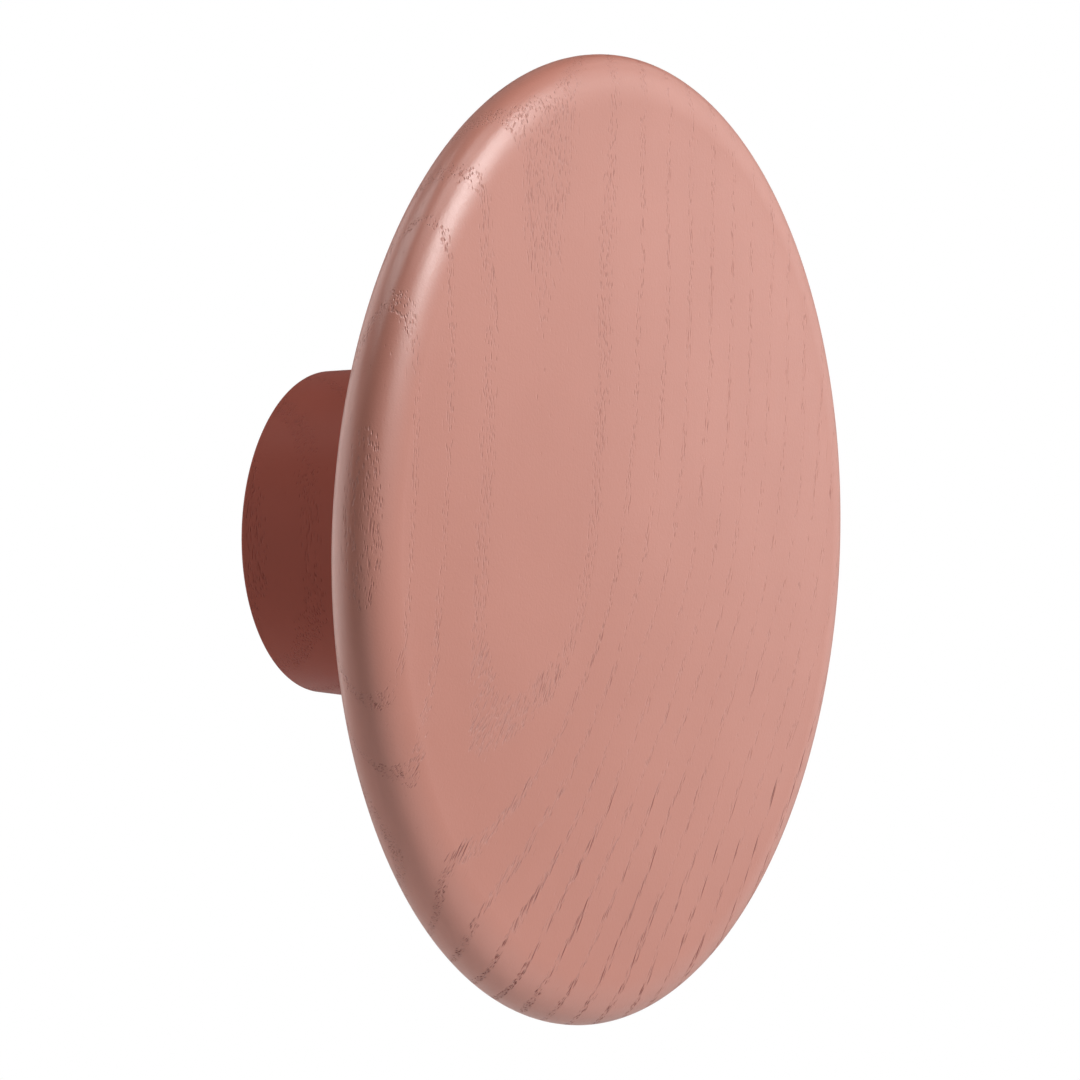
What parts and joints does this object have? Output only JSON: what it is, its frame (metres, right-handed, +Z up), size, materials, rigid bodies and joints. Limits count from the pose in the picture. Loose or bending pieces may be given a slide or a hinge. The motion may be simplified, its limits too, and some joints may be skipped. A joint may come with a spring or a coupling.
{
  "type": "wall coat hook",
  "caption": "Round turned wooden coat hook: a wide disc on a short stem that screws onto a hanger bolt in a wall plug.",
  "frame": {"origin": "centre of the stem's flat back face, where it rests on the wall, on the axis that every piece is turned about", "axes": "-Y out of the wall, the way the head faces; +Y into the wall; +Z up, along the wood's grain; +X to the right as seen from the front"},
  "size_m": [0.17, 0.1139, 0.17],
  "materials": {
    "head_paint": "dusty terracotta pink paint on open-pored ash, satin",
    "stem_paint": "dusty terracotta pink paint on open-pored ash, satin",
    "insert_brass": "plain machined",
    "bolt_steel": "zinc plated",
    "plug_nylon": "grey nylon, matt"
  },
  "bodies": {
    "wall_fixing": {"wall_plug": "plug_nylon", "hanger_bolt": "bolt_steel"},
    "insert": {"threaded_insert": "insert_brass"},
    "hook": {"head_disc": "head_paint", "stem": "stem_paint"}
  },
  "joints": [
    {"name": "screw_travel", "type": "slide", "parent": "wall_fixing", "child": "insert", "axis": [0, -1, 0], "range_m": [0, 0.02]},
    {"name": "hook_turn", "type": "hinge", "parent": "insert", "child": "hook", "pos_m": [0, 0, 0], "axis": [0, -1, 0], "range_deg": [0, 5760]}
  ],
  "couplings": [
    {"joint": "screw_travel", "follows": "hook_turn", "m_per_rad": 0.00019894}
  ]
}
